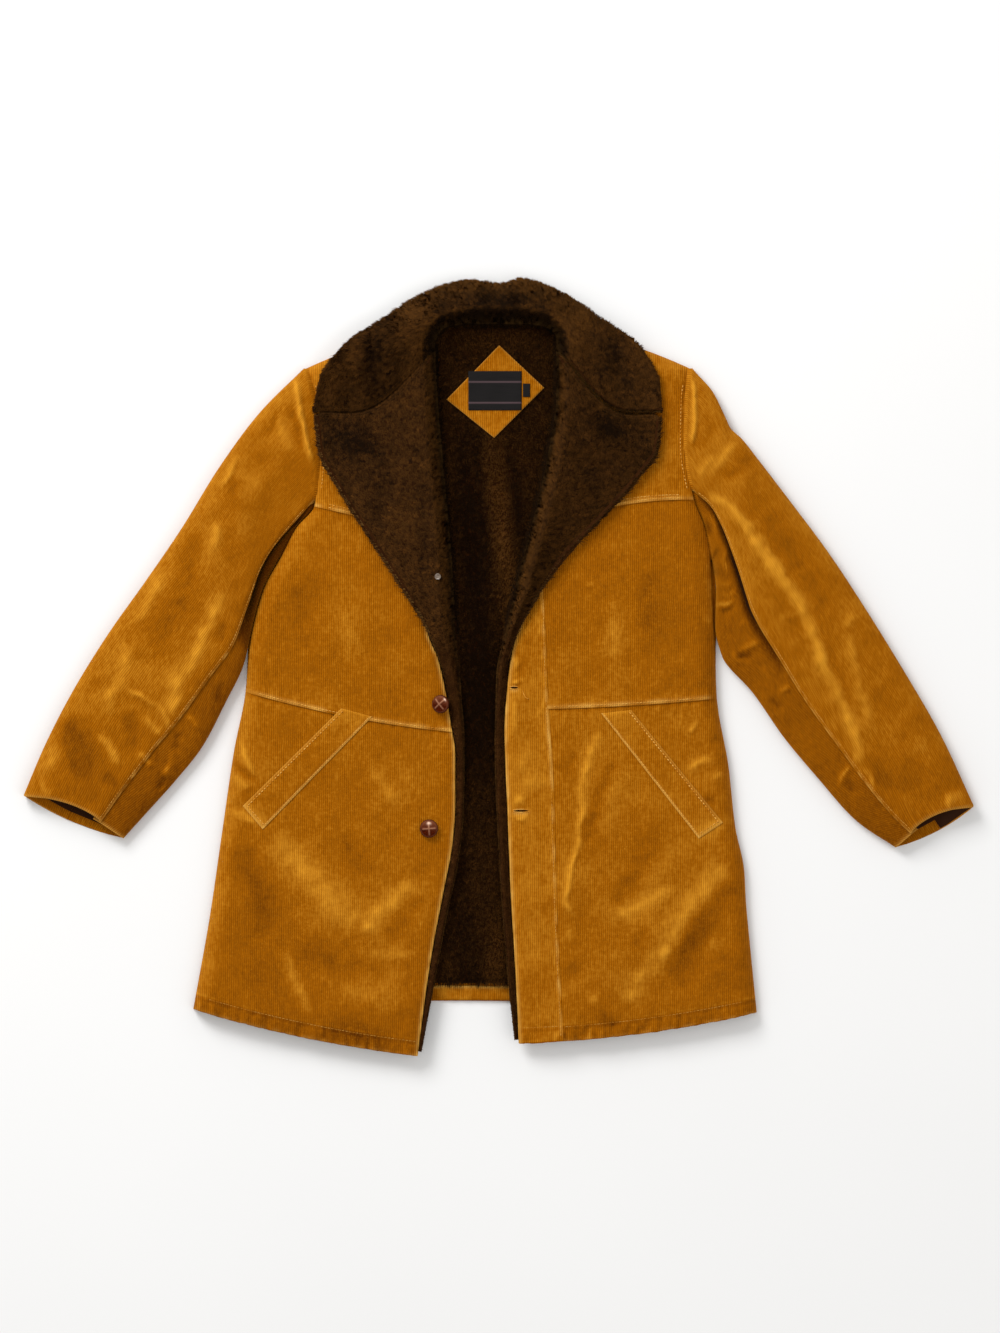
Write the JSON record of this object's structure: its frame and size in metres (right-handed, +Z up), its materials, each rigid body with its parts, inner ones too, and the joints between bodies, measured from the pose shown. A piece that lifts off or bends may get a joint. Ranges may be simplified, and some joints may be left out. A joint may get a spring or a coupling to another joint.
{
  "type": "rancher jacket",
  "caption": "Corduroy rancher jacket with a pile collar, lapels and lining, laid flat on its back with the front open and the sleeves beside the body.",
  "frame": {"origin": "middle of the laid-out jacket's footprint, on the surface it lies on", "axes": "+X towards the wearer's left sleeve, +Y from hem to collar, +Z up from the surface"},
  "size_m": [1.1398, 0.9337, 0.05],
  "materials": {
    "corduroy": "ribbed tan corduroy with a soft nap",
    "pile": "deep dark brown pile",
    "label": "black woven satin, bare",
    "leather": "glossy woven leather",
    "horn": "dull horn"
  },
  "bodies": {
    "root": {"back": "corduroy", "back_hem_turn": "corduroy", "back_lining": "pile", "button_1": "leather", "button_2": "leather", "collar": "pile", "left_facing": "pile", "left_front_chest": "corduroy", "left_front_placket": "corduroy", "left_front_skirt": "corduroy", "left_front_yoke": "corduroy", "left_pocket_welt": "corduroy", "left_sleeve_top": "corduroy", "left_sleeve_under": "corduroy", "neck_label": "label", "neck_patch": "corduroy", "right_facing": "pile", "right_front_chest": "corduroy", "right_front_skirt": "corduroy", "right_front_yoke": "corduroy", "right_pocket_welt": "corduroy", "right_sleeve_top": "corduroy", "right_sleeve_under": "corduroy", "size_tab": "label", "stay_button": "horn"}
  },
  "joints": []
}
